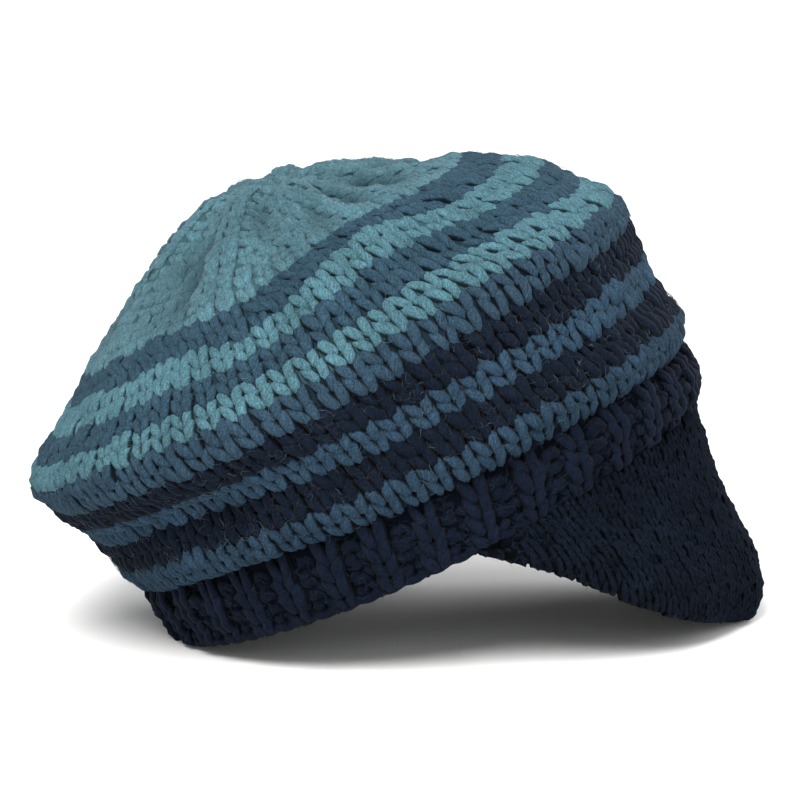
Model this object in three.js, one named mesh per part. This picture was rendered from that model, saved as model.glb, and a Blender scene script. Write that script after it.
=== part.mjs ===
// A slouchy knitted beanie with a ribbed band and a short drooping visor, standing on the rear of its
// rim and on the front edge of its visor. Millimetres, +Z up, the visor toward -Y.
// The knit runs in courses, counted up from the rim, and every course is one closed ring.
import * as THREE from 'three';

const STITCHES_ROUND = 72;
const WALL = 5.5;
const SEAM_GAP = 0.3;
const COURSE_PITCH = 5.6;
const BAND_COURSES = 4;
const LAST_COURSE = 39;
const SHIFT = { x: 0.98, y: -4.9 };

// One row per ring: its course, its centre, its half length and half width, how far its plane tilts up
// at the front, and how far its sides rise out of that plane.
const RINGS = [
  { course: -2, y: -10.5, z: 25.6, halfLength: 96.5, halfWidth: 84, tilt: 23, rise: -2.5 },
  { course: 0, y: -7.2, z: 35.7, halfLength: 99.4, halfWidth: 86, tilt: 23, rise: -2 },
  { course: 4, y: -1.5, z: 56, halfLength: 106.4, halfWidth: 90, tilt: 23.1, rise: 0 },
  { course: 6, y: 4.1, z: 66.7, halfLength: 108.3, halfWidth: 93, tilt: 23.1, rise: 0 },
  { course: 8, y: 11.3, z: 76, halfLength: 108.3, halfWidth: 95.5, tilt: 23.4, rise: 0 },
  { course: 10, y: 16.5, z: 84, halfLength: 110.4, halfWidth: 97.5, tilt: 24.2, rise: 0 },
  { course: 12, y: 23.4, z: 92.2, halfLength: 112.4, halfWidth: 99, tilt: 24.8, rise: 0 },
  { course: 14, y: 29.7, z: 101, halfLength: 113.9, halfWidth: 99, tilt: 24.8, rise: 0.5 },
  { course: 16, y: 34, z: 108.8, halfLength: 107.4, halfWidth: 97, tilt: 25.6, rise: 1 },
  { course: 18, y: 37.4, z: 116.6, halfLength: 98.4, halfWidth: 92, tilt: 27, rise: 2 },
  { course: 20, y: 41, z: 123.3, halfLength: 87.6, halfWidth: 85, tilt: 27.6, rise: 3.5 },
  { course: 22, y: 45.6, z: 129, halfLength: 77, halfWidth: 76, tilt: 28, rise: 3.5 },
  { course: 26, y: 47, z: 138.6, halfLength: 58.4, halfWidth: 61, tilt: 25.7, rise: 3.5 },
  { course: 30, y: 47.4, z: 147.8, halfLength: 41.2, halfWidth: 44, tilt: 21.8, rise: 3.6 },
  { course: 34, y: 47.2, z: 155.5, halfLength: 24, halfWidth: 26, tilt: 16.4, rise: 2.4 },
  { course: 37, y: 44.9, z: 157.8, halfLength: 10.4, halfWidth: 11.4, tilt: 9.5, rise: 1.2 },
  { course: 39, y: 42.6, z: 157, halfLength: 0, halfWidth: 0, tilt: 4, rise: 0 },
];

// One row per fold or swell: where it is centred, how deep it is pushed in (a swell is negative), how far
// it spreads in courses and in degrees, and how many courses it climbs over 100 degrees.
const FOLDS = [
  { course: 8.4, angle: 121, depth: 7, courses: 1.7, degrees: 24, climb: 1 },
  { course: 12.8, angle: 116, depth: -4, courses: 2.4, degrees: 28, climb: 0 },
  { course: 18.4, angle: 50, depth: 7, courses: 2.4, degrees: 24, climb: -4 },
  { course: 14.6, angle: 40, depth: -2.5, courses: 2, degrees: 26, climb: 0 },
  { course: 12.8, angle: -6, depth: -2.8, courses: 1.2, degrees: 34, climb: 0 },
  { course: 2, angle: -5, depth: -2.3, courses: 1.6, degrees: 42, climb: 0 },
  { course: 9, angle: -128, depth: 5, courses: 1.8, degrees: 26, climb: -1 },
  { course: 17, angle: -58, depth: 5, courses: 2.4, degrees: 22, climb: 4 },
  { course: 24, angle: -35, depth: 3.5, courses: 2.4, degrees: 32, climb: 0 },
  { course: 25, angle: 168, depth: 2.5, courses: 5, degrees: 13, climb: 0 },
  { course: 39, angle: 0, depth: 3, courses: 2.6, degrees: 400, climb: 0 },
];

const TUCK = { course: BAND_COURSES, depth: 2.2, courses: 0.75 };
const SWELL = { course: 5.6, depth: 0.9, courses: 1.2 };
const GATHER = { ridges: 8, course: 31, courses: 6, depth: 3.2, phase: 10 };
const RIB_DEPTH = 1;

const VISOR_HALF_ANGLE = 76;
const VISOR_HALF_THICKNESS = 4;
const VISOR_MIDDLE_DEPTH = 3;
const VISOR_HOLLOW = 1.6;

// One row per place along the visor's free edge: the angle of the rim that it hangs from, the middle of
// its thickness there, and how far the visor rolls outward just above it.
const VISOR_EDGE = [
  { angle: 0, x: 0, y: -115, z: 2.7, roll: 8.2 },
  { angle: 16, x: 24, y: -111.8, z: 5, roll: 7.7 },
  { angle: 32, x: 46, y: -100.4, z: 12.6, roll: 5.4 },
  { angle: 46, x: 63, y: -82, z: 22.5, roll: 4 },
  { angle: 60, x: 76, y: -58, z: 34.5, roll: 2 },
  { angle: 70, x: 81, y: -40, z: 40.6, roll: 0.5 },
  { angle: 76, x: 81.8, y: -29.6, z: 41, roll: 0 },
];

const radians = (degrees) => degrees * Math.PI / 180;
const bell = (x) => Math.exp(-x * x);

// Smooth curve through one column of a table, by the slopes of its neighbouring rows.
function along(rows, key, column, at) {
  const last = rows.length - 1;
  let i = 0;
  while (i < last - 1 && at > rows[i + 1][key]) i += 1;
  const chord = (k) => (rows[k + 1][column] - rows[k][column]) / (rows[k + 1][key] - rows[k][key]);
  const slope = (k) => {
    if (k === 0) return chord(0);
    if (k === last) return chord(last - 1);
    return (chord(k - 1) + chord(k)) / 2;
  };
  const span = rows[i + 1][key] - rows[i][key];
  const t = (at - rows[i][key]) / span;
  const rise = rows[i + 1][column] - rows[i][column];
  const bendStart = slope(i) * span - rise;
  const bendEnd = slope(i + 1) * span - rise;
  return rows[i][column] + t * rise + t * (1 - t) * ((1 - t) * bendStart - t * bendEnd);
}

// A point of the smooth ring of one course. The angle runs from the front toward the -X side.
function ringPoint(course, angle) {
  const value = (column) => along(RINGS, 'course', column, course);
  const turn = radians(angle);
  const tilt = radians(value('tilt'));
  const forward = value('halfLength') * Math.cos(turn);
  const lift = value('rise') * Math.sin(turn) ** 2;
  return new THREE.Vector3(
    -value('halfWidth') * Math.sin(turn),
    value('y') - forward * Math.cos(tilt) + lift * Math.sin(tilt),
    value('z') + forward * Math.sin(tilt) + lift * Math.cos(tilt),
  );
}

// How far the knit is pushed in at one place, by its folds, the tuck over the band and the top gathers.
function foldDepth(course, angle) {
  let depth = TUCK.depth * bell((course - TUCK.course) / TUCK.courses);
  depth -= SWELL.depth * bell((course - SWELL.course) / SWELL.courses);
  for (const fold of FOLDS) {
    const away = (((angle - fold.angle) % 360) + 540) % 360 - 180;
    const level = fold.course + fold.climb * away / 100;
    depth += fold.depth * bell((course - level) / fold.courses) * bell(away / fold.degrees);
  }
  const ridge = Math.cos(radians(GATHER.ridges * (angle - GATHER.phase)));
  depth += GATHER.depth * (1 - ridge) / 2 * bell((course - GATHER.course) / GATHER.courses);
  return depth;
}

function across(course, angle, pointAt) {
  const courseStep = 0.2;
  const angleStep = 1.5;
  const low = Math.min(course, LAST_COURSE - 2 * courseStep);
  const up = pointAt(low + courseStep, angle).sub(pointAt(low - courseStep, angle));
  const round = pointAt(low, angle + angleStep).sub(pointAt(low, angle - angleStep));
  return up.cross(round).normalize();
}

// The outer face of the knit: the smooth ring pushed in along its own normal.
function outerPoint(course, angle) {
  const normal = across(course, angle, ringPoint);
  return ringPoint(course, angle).addScaledVector(normal, -foldDepth(course, angle));
}

// A point at some depth under the outer face.
function knitPoint(course, angle, depth) {
  const normal = across(course, angle, outerPoint);
  return outerPoint(course, angle).addScaledVector(normal, -depth);
}

// What would lie under the floor is pressed flat on it.
const pressed = (point) => point.setZ(Math.max(point.z, 0));

// A closed body from rows of points: each row is a closed loop, and the rows join one after another.
function loopsToGeometry(loops, wrap) {
  const count = loops[0].length;
  const positions = loops.flat().flatMap((p) => [p.x, p.y, p.z]);
  const index = [];
  const joins = wrap ? loops.length : loops.length - 1;
  for (let i = 0; i < joins; i += 1) {
    const next = (i + 1) % loops.length;
    for (let j = 0; j < count; j += 1) {
      const k = (j + 1) % count;
      const a = i * count + j;
      const b = i * count + k;
      const c = next * count + k;
      const d = next * count + j;
      index.push(a, c, b, a, d, c);
    }
  }
  const geometry = new THREE.BufferGeometry();
  geometry.setAttribute('position', new THREE.Float32BufferAttribute(positions, 3));
  geometry.setIndex(index);
  return geometry;
}

// Closes one end of the loops with a fan around a point.
function closeEnd(geometry, first, count, centre, forward) {
  const position = geometry.getAttribute('position');
  const tip = position.count;
  geometry.setAttribute('position', new THREE.Float32BufferAttribute(
    [...position.array, centre.x, centre.y, centre.z], 3,
  ));
  const index = [...geometry.index.array];
  for (let j = 0; j < count; j += 1) {
    const k = (j + 1) % count;
    if (forward) index.push(first + k, first + j, tip);
    else index.push(first + j, first + k, tip);
  }
  geometry.setIndex(index);
}

function ringLoop(count, pointAt) {
  const loop = [];
  for (let j = 0; j < count; j += 1) loop.push(pressed(pointAt(j * 360 / count)));
  return loop;
}

// The crown: one hollow shell, from the tuck over the band up to the gathered top.
function crownGeometry() {
  const rows = 24;
  const lastRow = LAST_COURSE - 0.8;
  const count = STITCHES_ROUND;
  const courses = [];
  for (let i = 0; i <= rows; i += 1) {
    courses.push(BAND_COURSES + (lastRow - BAND_COURSES) * (i / rows));
  }
  const outer = courses.map((course) => ringLoop(count, (angle) => knitPoint(course, angle, 0)));
  const inner = courses.map((course) => ringLoop(count, (angle) => knitPoint(course, angle, WALL)));
  const loops = [...inner.reverse(), ...outer];
  const geometry = loopsToGeometry(loops, false);
  const outerTip = outerPoint(LAST_COURSE, 0);
  const innerTip = outerTip.clone().setZ(outerTip.z - WALL);
  closeEnd(geometry, 0, count, innerTip, false);
  closeEnd(geometry, (loops.length - 1) * count, count, outerTip, true);
  return geometry;
}

// The band: a ring of knit-one purl-one rib, its lower edge rounded and pressed flat at the rear.
function bandGeometry() {
  const ribs = STITCHES_ROUND / 2;
  const count = ribs * 4;
  const top = BAND_COURSES - SEAM_GAP / COURSE_PITCH;
  const section = [
    { course: 0.25, inner: true, trim: 0 },
    { course: 0, inner: true, trim: 1.4 },
    { course: 0, inner: false, trim: 1.4 },
    { course: 0.25, inner: false, trim: 0 },
    { course: 1.4, inner: false, trim: 0 },
    { course: 2.9, inner: false, trim: 0 },
    { course: top, inner: false, trim: 0 },
    { course: top, inner: true, trim: 0 },
    { course: 2, inner: true, trim: 0 },
  ];
  const loops = section.map((place) => ringLoop(count, (angle) => {
    const fade = Math.sin(Math.PI * Math.min(1, (top - place.course + 0.6) / top) / 2);
    const rib = RIB_DEPTH * fade * (1 - Math.cos(radians(ribs * angle))) / 2;
    const depth = place.inner ? WALL - place.trim : rib + place.trim;
    return knitPoint(place.course, angle, place.course >= top ? (place.inner ? WALL : 0) : depth);
  }));
  return loopsToGeometry(loops, true);
}

function visorMiddle(angle, reach) {
  const side = Math.abs(angle);
  const value = (column) => along(VISOR_EDGE, 'angle', column, side);
  const start = knitPoint(-SEAM_GAP / COURSE_PITCH, angle, VISOR_MIDDLE_DEPTH);
  const outward = across(0, angle, ringPoint);
  const edge = new THREE.Vector3(-Math.sign(angle) * value('x'), value('y'), value('z'));
  const strongestRoll = 0.8 ** 4 * 0.2;
  const roll = value('roll') * reach ** 4 * (1 - reach) / strongestRoll;
  const hollow = VISOR_HOLLOW * 4 * reach * (1 - reach);
  return start.lerp(edge, reach).addScaledVector(outward, roll - hollow);
}

// The visor: one double layer of finer knit with a rounded free edge, hung from the front of the rim.
function visorGeometry() {
  const columns = 34;
  const rows = 8;
  const cap = [30, 60, 90, 120, 150];
  const step = 0.02;
  const loops = [];
  for (let i = 0; i <= columns; i += 1) {
    const angle = VISOR_HALF_ANGLE * (2 * i / columns - 1);
    const taper = 1 - 0.55 * Math.abs(angle / VISOR_HALF_ANGLE) ** 6;
    const half = VISOR_HALF_THICKNESS * taper;
    const normalAt = (reach) => {
      const sideways = visorMiddle(angle + 1, reach).sub(visorMiddle(angle - 1, reach));
      const low = Math.max(reach - step, 0);
      const down = visorMiddle(angle, low + step).sub(visorMiddle(angle, low));
      return sideways.cross(down).normalize();
    };
    const startNormal = across(0, angle, outerPoint);
    const layer = (reach, side) => {
      const blend = Math.min(1, reach * 4);
      const normal = startNormal.clone().lerp(normalAt(reach), blend).normalize();
      return visorMiddle(angle, reach).addScaledVector(normal, side * half);
    };
    const loop = [];
    for (let j = 0; j <= rows; j += 1) loop.push(layer(j / rows, 1));
    const normal = normalAt(1);
    const down = visorMiddle(angle, 1).sub(visorMiddle(angle, 1 - step)).normalize();
    for (const turn of cap) {
      const point = visorMiddle(angle, 1).addScaledVector(normal, half * Math.cos(radians(turn)));
      loop.push(point.addScaledVector(down, half * Math.sin(radians(turn))));
    }
    for (let j = rows; j >= 0; j -= 1) loop.push(layer(j / rows, -1));
    loops.push(loop.map(pressed));
  }
  const count = loops[0].length;
  const geometry = loopsToGeometry(loops, false);
  const middle = (loop) => loop.reduce((sum, p) => sum.add(p), new THREE.Vector3()).divideScalar(count);
  closeEnd(geometry, 0, count, middle(loops[0]), false);
  closeEnd(geometry, (loops.length - 1) * count, count, middle(loops.at(-1)), true);
  return geometry;
}

function wool(color) {
  return new THREE.MeshStandardMaterial({ color, roughness: 0.95, metalness: 0 });
}

function piece(name, geometry, material) {
  geometry.computeVertexNormals();
  const mesh = new THREE.Mesh(geometry, material);
  mesh.name = name;
  return mesh;
}

const beanie = new THREE.Group();
beanie.name = 'visor_beanie';
beanie.add(piece('crown', crownGeometry(), wool(0x5a949a)));
beanie.add(piece('ribbed_band', bandGeometry(), wool(0x141c2c)));
beanie.add(piece('visor', visorGeometry(), wool(0x151f30)));
beanie.position.set(SHIFT.x, SHIFT.y, 0);

export default beanie;
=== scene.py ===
import math

import bpy
import numpy as np
from mathutils import Matrix, Vector


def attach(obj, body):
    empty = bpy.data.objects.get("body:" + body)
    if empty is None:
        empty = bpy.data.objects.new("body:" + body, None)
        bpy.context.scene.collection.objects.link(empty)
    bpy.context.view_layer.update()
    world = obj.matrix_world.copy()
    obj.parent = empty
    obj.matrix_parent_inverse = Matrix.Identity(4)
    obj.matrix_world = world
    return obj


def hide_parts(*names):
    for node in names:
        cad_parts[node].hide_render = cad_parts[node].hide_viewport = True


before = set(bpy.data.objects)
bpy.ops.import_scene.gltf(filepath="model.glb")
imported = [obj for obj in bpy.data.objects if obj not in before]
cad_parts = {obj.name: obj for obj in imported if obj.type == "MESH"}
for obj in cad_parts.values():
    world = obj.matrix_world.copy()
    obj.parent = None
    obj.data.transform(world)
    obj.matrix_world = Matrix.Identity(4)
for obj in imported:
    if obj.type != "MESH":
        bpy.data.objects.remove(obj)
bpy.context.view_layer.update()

# The hat is knitted here stitch by stitch. Sizes are in millimetres until a mesh is made.
MM = 0.001
RANDOM = np.random.default_rng(7)

# Camera, at the photograph's angle to the hat
CAMERA_AZIMUTH = -85
CAMERA_ELEVATION = 11
CAMERA_ROLL = -2.07
CAMERA_DISTANCE = 1400
CAMERA_TARGET = (0, 0, 80)
CAMERA_SIDE_STEP = 2.8
CAMERA_DOWN_STEP = 0.77
PICTURE_WIDTH = 280.0
SENSOR_WIDTH = 36
CLIP_START = 0.01

# The hat's form: its rings and folds, as the solids have them, in axes that SHIFT carries to the frame's
BAND_COURSES = 4
LAST_COURSE = 39
SHIFT = np.array([0.98, -4.9, 0])

# The rings, by course: their middle, half their length and width, their tilt, and how far the sides rise
RING_COLUMNS = ("course", "y", "z", "half_length", "half_width", "tilt", "rise")
RINGS = [
    (-2, -10.5, 25.6, 96.5, 84, 23, -2.5),
    (0, -7.2, 35.7, 99.4, 86, 23, -2),
    (4, -1.5, 56, 106.4, 90, 23.1, 0),
    (6, 4.1, 66.7, 108.3, 93, 23.1, 0),
    (8, 11.3, 76, 108.3, 95.5, 23.4, 0),
    (10, 16.5, 84, 110.4, 97.5, 24.2, 0),
    (12, 23.4, 92.2, 112.4, 99, 24.8, 0),
    (14, 29.7, 101, 113.9, 99, 24.8, 0.5),
    (16, 34, 108.8, 107.4, 97, 25.6, 1),
    (18, 37.4, 116.6, 98.4, 92, 27, 2),
    (20, 41, 123.3, 87.6, 85, 27.6, 3.5),
    (22, 45.6, 129, 77, 76, 28, 3.5),
    (26, 47, 138.6, 58.4, 61, 25.7, 3.5),
    (30, 47.4, 147.8, 41.2, 44, 21.8, 3.6),
    (34, 47.2, 155.5, 24, 26, 16.4, 2.4),
    (37, 44.9, 157.8, 10.4, 11.4, 9.5, 1.2),
    (39, 42.6, 157, 0, 0, 4, 0),
]

# The folds: course and angle of the middle, depth, width in courses and in degrees, and how many courses
# the fold climbs in 100 degrees. A depth under 0 stands out
FOLDS = [
    (8.4, 121, 7, 1.7, 24, 1),
    (12.8, 116, -4, 2.4, 28, 0),
    (18.4, 50, 7, 2.4, 24, -4),
    (14.6, 40, -2.5, 2, 26, 0),
    (12.8, -6, -2.8, 1.2, 34, 0),
    (2, -5, -2.3, 1.6, 42, 0),
    (9, -128, 5, 1.8, 26, -1),
    (17, -58, 5, 2.4, 22, 4),
    (24, -35, 3.5, 2.4, 32, 0),
    (25, 168, 2.5, 5, 13, 0),
    (39, 0, 3, 2.6, 400, 0),
]
# Where the knitting stands a little fuller than the solid: the band's front and the back of the top
FULLER = [
    (1.1, 0, -2.4, 1.3, 42, 0),
    (30, 165, -2.2, 4, 42, 0),
]
TUCK_COURSE, TUCK_DEPTH, TUCK_COURSES = BAND_COURSES, 2.2, 0.75
SWELL_COURSE, SWELL_DEPTH, SWELL_COURSES = 5.6, 0.9, 1.2
GATHER_RIDGES, GATHER_COURSE, GATHER_COURSES, GATHER_DEPTH, GATHER_PHASE = 8, 31, 6, 3.2, 10

# Narrow valleys round the top, where the knit is gathered to the centre
VALLEYS_ROUND = 17
VALLEY_ANGLES = np.arange(VALLEYS_ROUND) * 360 / VALLEYS_ROUND + RANDOM.uniform(-6, 6, VALLEYS_ROUND)
VALLEY_DEPTHS = RANDOM.uniform(2.0, 5.0, VALLEYS_ROUND)
VALLEY_COURSES = RANDOM.uniform(27, 31.5, VALLEYS_ROUND)
VALLEY_LENGTHS = RANDOM.uniform(3.0, 5.0, VALLEYS_ROUND)
VALLEY_WIDTHS = RANDOM.uniform(3.6, 5.6, VALLEYS_ROUND)

# The knit is drawn out of true. Course and angle of the middle, how many courses the knit has slid up
# the form there, and the width of the place in courses and in degrees
DRIFTS = [
    (18.5, 54, 1.6, 4.5, 17),
    (20.5, 92, -1.1, 3, 14),
    (5, 122, 0.45, 1.6, 22),
    (14.5, 128, 0.35, 2, 16),
]
# Where the wales spread: the angle of the middle, how far they shift, and over what width
SPREAD_ANGLE, SPREAD_DEGREES, SPREAD_WIDTH = 57, 2.7, 22

# The visor. Its free edge is drawn out a little further at the tip than the solid's
VISOR_HALF_ANGLE = 76
VISOR_HALF_THICKNESS = 4
VISOR_MIDDLE_DEPTH = 3
VISOR_HOLLOW = 1.2
VISOR_COLUMNS = ("angle", "x", "y", "z", "roll")
VISOR_EDGE = [
    (0, 0, -118, 4.1, 5.2),
    (8, 12.2, -116.2, 4.8, 4.9),
    (16, 24, -109.8, 7, 4.4),
    (32, 46, -98.7, 12.8, 3),
    (46, 63, -82, 21.7, 3),
    (60, 76, -58, 34.5, 2),
    (70, 81, -40, 40.6, 0.5),
    (76, 81.8, -29.4, 43.4, 0),
]

# The stripes, from the band up: name, yarn, the factor by which its yarn's colour is darkened, first
# course, one past the last
DENIM = (0.0215, 0.0455, 0.0740)
NAVY = (0.0050, 0.0090, 0.0176)
INDIGO = (0.0250, 0.0510, 0.0780)
SLATE = (0.0262, 0.0580, 0.0855)
TEAL = (0.0620, 0.1400, 0.1715)
STRIPES = [
    ("denim_low", DENIM, 0.78, 4, 6),
    ("navy_low", NAVY, 0.80, 6, 8),
    ("denim_high", DENIM, 0.97, 8, 10),
    ("navy_high", NAVY, 0.88, 10, 12),
    ("slate_low", INDIGO, 0.84, 12, 14),
    ("teal_low", TEAL, 0.87, 14, 16),
    ("slate_middle", SLATE, 0.81, 16, 18),
    ("teal_middle", TEAL, 0.87, 18, 20),
    ("slate_high", SLATE, 0.86, 20, 22),
    ("teal_top", TEAL, 0.88, 22, 38),
]
STRIPE_STARTS = [row[3] for row in STRIPES]
BAND_COLOUR = (0.0042, 0.0072, 0.0155)
VISOR_COLOUR = (0.0031, 0.0057, 0.0114)


def table(rows, columns):
    values = np.array(rows, float)
    return {name: values[:, i] for i, name in enumerate(columns)}


RING_TABLE = table(RINGS, RING_COLUMNS)
VISOR_TABLE = table(VISOR_EDGE, VISOR_COLUMNS)


def along(columns, key, name, at):
    """Smooth curve through one column of a table, by the slopes of its neighbouring rows."""
    knots = columns[key]
    values = columns[name]
    chords = np.diff(values) / np.diff(knots)
    slopes = np.concatenate([chords[:1], (chords[1:] + chords[:-1]) / 2, chords[-1:]])
    i = np.clip(np.searchsorted(knots, at, side="left") - 1, 0, len(knots) - 2)
    span = knots[i + 1] - knots[i]
    t = (at - knots[i]) / span
    rise = values[i + 1] - values[i]
    bend_start = slopes[i] * span - rise
    bend_end = slopes[i + 1] * span - rise
    return values[i] + t * rise + t * (1 - t) * ((1 - t) * bend_start - t * bend_end)


def unit(vectors):
    return vectors / np.maximum(np.linalg.norm(vectors, axis=-1, keepdims=True), 1e-9)


def bell(x):
    return np.exp(-x * x)


def degrees_from(middle, angle):
    """The shorter way round from one angle to another."""
    return (angle - middle + 180) % 360 - 180


def ring_point(course, angle):
    """The smooth ring of one course. The angle runs from the front toward the -X side."""
    value = {name: along(RING_TABLE, "course", name, course) for name in RING_COLUMNS[1:]}
    turn = np.radians(angle)
    tilt = np.radians(value["tilt"])
    forward = value["half_length"] * np.cos(turn)
    lift = value["rise"] * np.sin(turn) ** 2
    return np.stack([
        -value["half_width"] * np.sin(turn),
        value["y"] - forward * np.cos(tilt) + lift * np.sin(tilt),
        value["z"] + forward * np.sin(tilt) + lift * np.cos(tilt),
    ], axis=-1)


def fold_depth(course, angle):
    depth = TUCK_DEPTH * bell((course - TUCK_COURSE) / TUCK_COURSES)
    depth = depth - SWELL_DEPTH * bell((course - SWELL_COURSE) / SWELL_COURSES)
    for centre, middle, deep, courses, degrees, climb in FOLDS + FULLER:
        away = degrees_from(middle, angle)
        level = centre + climb * away / 100
        depth = depth + deep * bell((course - level) / courses) * bell(away / degrees)
    ridge = np.cos(np.radians(GATHER_RIDGES * (angle - GATHER_PHASE)))
    return depth + GATHER_DEPTH * (1 - ridge) / 2 * bell((course - GATHER_COURSE) / GATHER_COURSES)


def across(course, angle, point_at):
    """The outward normal of a surface given by courses and angles."""
    course_step = 0.2
    angle_step = 1.5
    low = np.minimum(course, LAST_COURSE - 2 * course_step)
    up = point_at(low + course_step, angle) - point_at(low - course_step, angle)
    turn = point_at(low, angle + angle_step) - point_at(low, angle - angle_step)
    return unit(np.cross(up, turn))


def valley_depth(course, angle):
    depth = np.zeros_like(course)
    rows = zip(VALLEY_ANGLES, VALLEY_DEPTHS, VALLEY_COURSES, VALLEY_LENGTHS, VALLEY_WIDTHS)
    for middle, deep, centre, courses, degrees in rows:
        away = degrees_from(middle, angle)
        depth = depth + deep * bell((course - centre) / courses) * bell(away / degrees)
    return depth


def outer_point(course, angle):
    normal = across(course, angle, ring_point)
    depth = fold_depth(course, angle) + valley_depth(course, angle)
    return ring_point(course, angle) - normal * depth[..., None]


def drawn(course, angle):
    """Where a place in the knit has been drawn to on the form."""
    away = degrees_from(SPREAD_ANGLE, angle)
    spread = SPREAD_DEGREES * (np.tanh(away / SPREAD_WIDTH) - away / 180)
    slid = course
    for centre, middle, slide, courses, degrees in DRIFTS:
        away = degrees_from(middle, angle)
        slid = slid + slide * bell((course - centre) / courses) * bell(away / degrees)
    return slid, angle + spread


def knit_surface(course, angle):
    """A point on the outer face of the hat and the outward normal there."""
    course, angle = drawn(course, angle)
    return outer_point(course, angle), across(course, angle, outer_point)


def visor_middle(angle, reach):
    """The middle of the visor's thickness, from the rim (reach 0) to the free edge (reach 1)."""
    side = np.abs(angle)
    value = {name: along(VISOR_TABLE, "angle", name, side) for name in VISOR_COLUMNS[1:]}
    rim = np.zeros_like(angle)
    start = outer_point(rim, angle)
    start = start - across(rim, angle, outer_point) * VISOR_MIDDLE_DEPTH
    outward = across(rim, angle, ring_point)
    edge = np.stack([-np.sign(angle) * value["x"], value["y"], value["z"]], axis=-1)
    # The roll is strongest at 0.8 of the reach
    strongest_roll = 0.8 ** 4 * 0.2
    roll = value["roll"] * reach ** 4 * (1 - reach) / strongest_roll
    hollow = VISOR_HOLLOW * 4 * reach * (1 - reach)
    spread = reach[..., None]
    return start * (1 - spread) + edge * spread + outward * (roll - hollow)[..., None]


# Camera, floor and light

# The lamps: name, place in metres, width, power and colour
LAMPS = [
    ("key", (-0.9, 0.25, 1.25), 0.9, 34, (1, 0.99, 0.97)),
    ("fill", (-1.3, -0.9, 0.55), 1.2, 6, (1, 1, 1)),
    ("front_fill", (-0.25, -1.5, 0.85), 1.2, 6, (1, 1, 1)),
    ("rim_light", (1.0, -0.75, 0.8), 0.8, 12, (1, 1, 1)),
]
LAMP_AIM = Vector((0, 0, 0.07))
SKY_STRENGTH = 0.55

# The floor, in metres. It glows with distance, so that it goes over into the white background
FLOOR_HALF = 6
FLOOR_COLOUR = (0.92, 0.92, 0.92, 1)
FLOOR_ROUGHNESS = 0.9
GLOW_START, GLOW_END, GLOW_STRENGTH = 0.35, 2.2, 0.55


def camera_axes():
    azimuth, elevation, roll = np.radians([CAMERA_AZIMUTH, CAMERA_ELEVATION, CAMERA_ROLL])
    back = np.array([
        math.sin(azimuth) * math.cos(elevation),
        -math.cos(azimuth) * math.cos(elevation),
        math.sin(elevation),
    ])
    right = np.array([math.cos(azimuth), math.sin(azimuth), 0])
    up = np.cross(back, right)
    rolled_right = math.cos(roll) * right + math.sin(roll) * up
    rolled_up = -math.sin(roll) * right + math.cos(roll) * up
    return rolled_right, rolled_up, back


def add_camera():
    right, up, back = camera_axes()
    place = np.array(CAMERA_TARGET) + back * CAMERA_DISTANCE
    place = place + right * CAMERA_SIDE_STEP - up * CAMERA_DOWN_STEP
    lens = bpy.data.cameras.new("camera")
    lens.sensor_width = SENSOR_WIDTH
    lens.lens = SENSOR_WIDTH * CAMERA_DISTANCE / PICTURE_WIDTH
    lens.clip_start = CLIP_START
    camera = bpy.data.objects.new("camera", lens)
    turn = Matrix([right, up, back]).transposed().to_4x4()
    camera.matrix_world = Matrix.Translation(Vector(place * MM)) @ turn
    bpy.context.scene.collection.objects.link(camera)
    bpy.context.scene.camera = camera


def add_lamp(name, place, size, power, colour):
    light = bpy.data.lights.new(name, "AREA")
    light.shape = "DISK"
    light.size = size
    light.energy = power
    light.color = colour
    lamp = bpy.data.objects.new(name, light)
    lamp.location = place
    aim = LAMP_AIM - Vector(place)
    lamp.rotation_euler = aim.to_track_quat("-Z", "Y").to_euler()
    bpy.context.scene.collection.objects.link(lamp)


def add_light():
    for lamp in LAMPS:
        add_lamp(*lamp)
    world = bpy.data.worlds.new("studio")
    bpy.context.scene.world = world
    world.use_nodes = True
    background = world.node_tree.nodes["Background"]
    background.inputs["Color"].default_value = (1, 1, 1, 1)
    background.inputs["Strength"].default_value = SKY_STRENGTH
    bpy.context.scene.view_settings.view_transform = "Standard"


def add_floor():
    material = bpy.data.materials.new("floor")
    material.use_nodes = True
    shader = material.node_tree.nodes["Principled BSDF"]
    shader.inputs["Base Color"].default_value = FLOOR_COLOUR
    shader.inputs["Roughness"].default_value = FLOOR_ROUGHNESS
    nodes = Nodes(material)
    place = nodes.add("ShaderNodeTexCoord").outputs["Object"]
    distance = nodes.add("ShaderNodeVectorMath", Vector=place)
    distance.operation = "LENGTH"
    glow = nodes.ranged(distance.outputs["Value"], GLOW_START, GLOW_END, 0, GLOW_STRENGTH)
    shader.inputs["Emission Color"].default_value = (1, 1, 1, 1)
    nodes.feed(shader, "Emission Strength", glow)
    mesh = bpy.data.meshes.new("floor")
    corners = [(x * FLOOR_HALF, y * FLOOR_HALF, 0) for x, y in ((-1, -1), (1, -1), (1, 1), (-1, 1))]
    mesh.from_pydata(corners, [], [(0, 1, 2, 3)])
    mesh.materials.append(material)
    floor = bpy.data.objects.new("floor", mesh)
    bpy.context.scene.collection.objects.link(floor)


# Wool

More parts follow.
